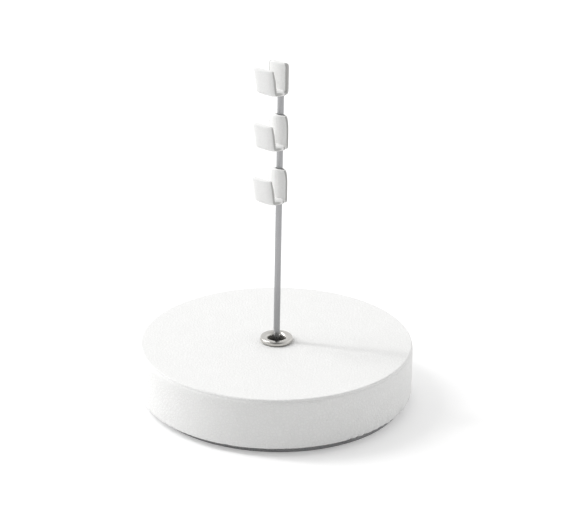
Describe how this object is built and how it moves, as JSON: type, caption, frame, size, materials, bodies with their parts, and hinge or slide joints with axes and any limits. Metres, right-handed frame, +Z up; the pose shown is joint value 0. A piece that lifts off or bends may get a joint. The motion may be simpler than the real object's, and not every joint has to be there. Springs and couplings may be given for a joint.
{
  "type": "jewelry stand",
  "caption": "Jewelry stand: a round weighted base, an upright rod and sprung leatherette clips that slide and turn on it and hold finger rings.",
  "frame": {"origin": "middle of the underside, on the surface that the stand rests on", "axes": "+Z up along the rod, -Y towards the side that the clips' flaps face at rest, +X to the right of someone facing the flaps"},
  "size_m": [0.0804, 0.0804, 0.1043],
  "materials": {
    "white_leatherette": "fine-grained satin imitation leather",
    "base_board": "raw fibreboard",
    "grey_board": "raw pressed board",
    "grey_felt": "pressed felt",
    "nickel_plate": "bright nickel plate",
    "brushed_stainless_steel": "drawn and brushed",
    "zinc_plated_steel": "zinc-plated blank",
    "brass": "turned",
    "spring_steel": "blued strip"
  },
  "bodies": {
    "stand": {"base_cover": "white_leatherette", "base_core": "base_board", "ballast_plate": "zinc_plated_steel", "hem_infill_board": "grey_board", "base_pad": "grey_felt", "eyelet": "nickel_plate", "eyelet_washer": "nickel_plate", "rod": "brushed_stainless_steel", "rod_bush": "brass", "rod_washer": "brushed_stainless_steel", "rod_nut": "brushed_stainless_steel"},
    "lower_liner": {"lower_liner": "brass"},
    "lower_clip": {"lower_sleeve": "white_leatherette", "lower_bridge": "white_leatherette", "lower_strip": "spring_steel"},
    "lower_flap": {"lower_flap": "white_leatherette", "lower_flap_strip": "spring_steel"},
    "middle_liner": {"middle_liner": "brass"},
    "middle_clip": {"middle_sleeve": "white_leatherette", "middle_bridge": "white_leatherette", "middle_strip": "spring_steel"},
    "middle_flap": {"middle_flap": "white_leatherette", "middle_flap_strip": "spring_steel"},
    "upper_liner": {"upper_liner": "brass"},
    "upper_clip": {"upper_sleeve": "white_leatherette", "upper_bridge": "white_leatherette", "upper_strip": "spring_steel"},
    "upper_flap": {"upper_flap": "white_leatherette", "upper_flap_strip": "spring_steel"}
  },
  "joints": [
    {"name": "lower_slide", "type": "slide", "parent": "stand", "child": "lower_liner", "axis": [0, 0, 1], "range_m": [-0.0425, 0.0028]},
    {"name": "lower_turn", "type": "hinge", "parent": "lower_liner", "child": "lower_clip", "pos_m": [0, 0, 0.063], "axis": [0, 0, 1], "continuous": true},
    {"name": "lower_flex", "type": "hinge", "parent": "lower_clip", "child": "lower_flap", "pos_m": [0, -0.0057, 0.06385], "axis": [1, 0, 0], "range_deg": [-35, 15], "stiffness_Nm_per_rad": 0.06},
    {"name": "middle_slide", "type": "slide", "parent": "stand", "child": "middle_liner", "axis": [0, 0, 1], "range_m": [-0.0028, 0.0055]},
    {"name": "middle_turn", "type": "hinge", "parent": "middle_liner", "child": "middle_clip", "pos_m": [0, 0, 0.07935], "axis": [0, 0, 1], "continuous": true},
    {"name": "middle_flex", "type": "hinge", "parent": "middle_clip", "child": "middle_flap", "pos_m": [0, -0.0057, 0.0802], "axis": [1, 0, 0], "range_deg": [-35, 15], "stiffness_Nm_per_rad": 0.06},
    {"name": "upper_slide", "type": "slide", "parent": "stand", "child": "upper_liner", "axis": [0, 0, 1], "range_m": [0, 0.006]},
    {"name": "upper_turn", "type": "hinge", "parent": "upper_liner", "child": "upper_clip", "pos_m": [0, 0, 0.0957], "axis": [0, 0, 1], "continuous": true},
    {"name": "upper_flex", "type": "hinge", "parent": "upper_clip", "child": "upper_flap", "pos_m": [0, -0.0057, 0.09655], "axis": [1, 0, 0], "range_deg": [-35, 15], "stiffness_Nm_per_rad": 0.06}
  ]
}
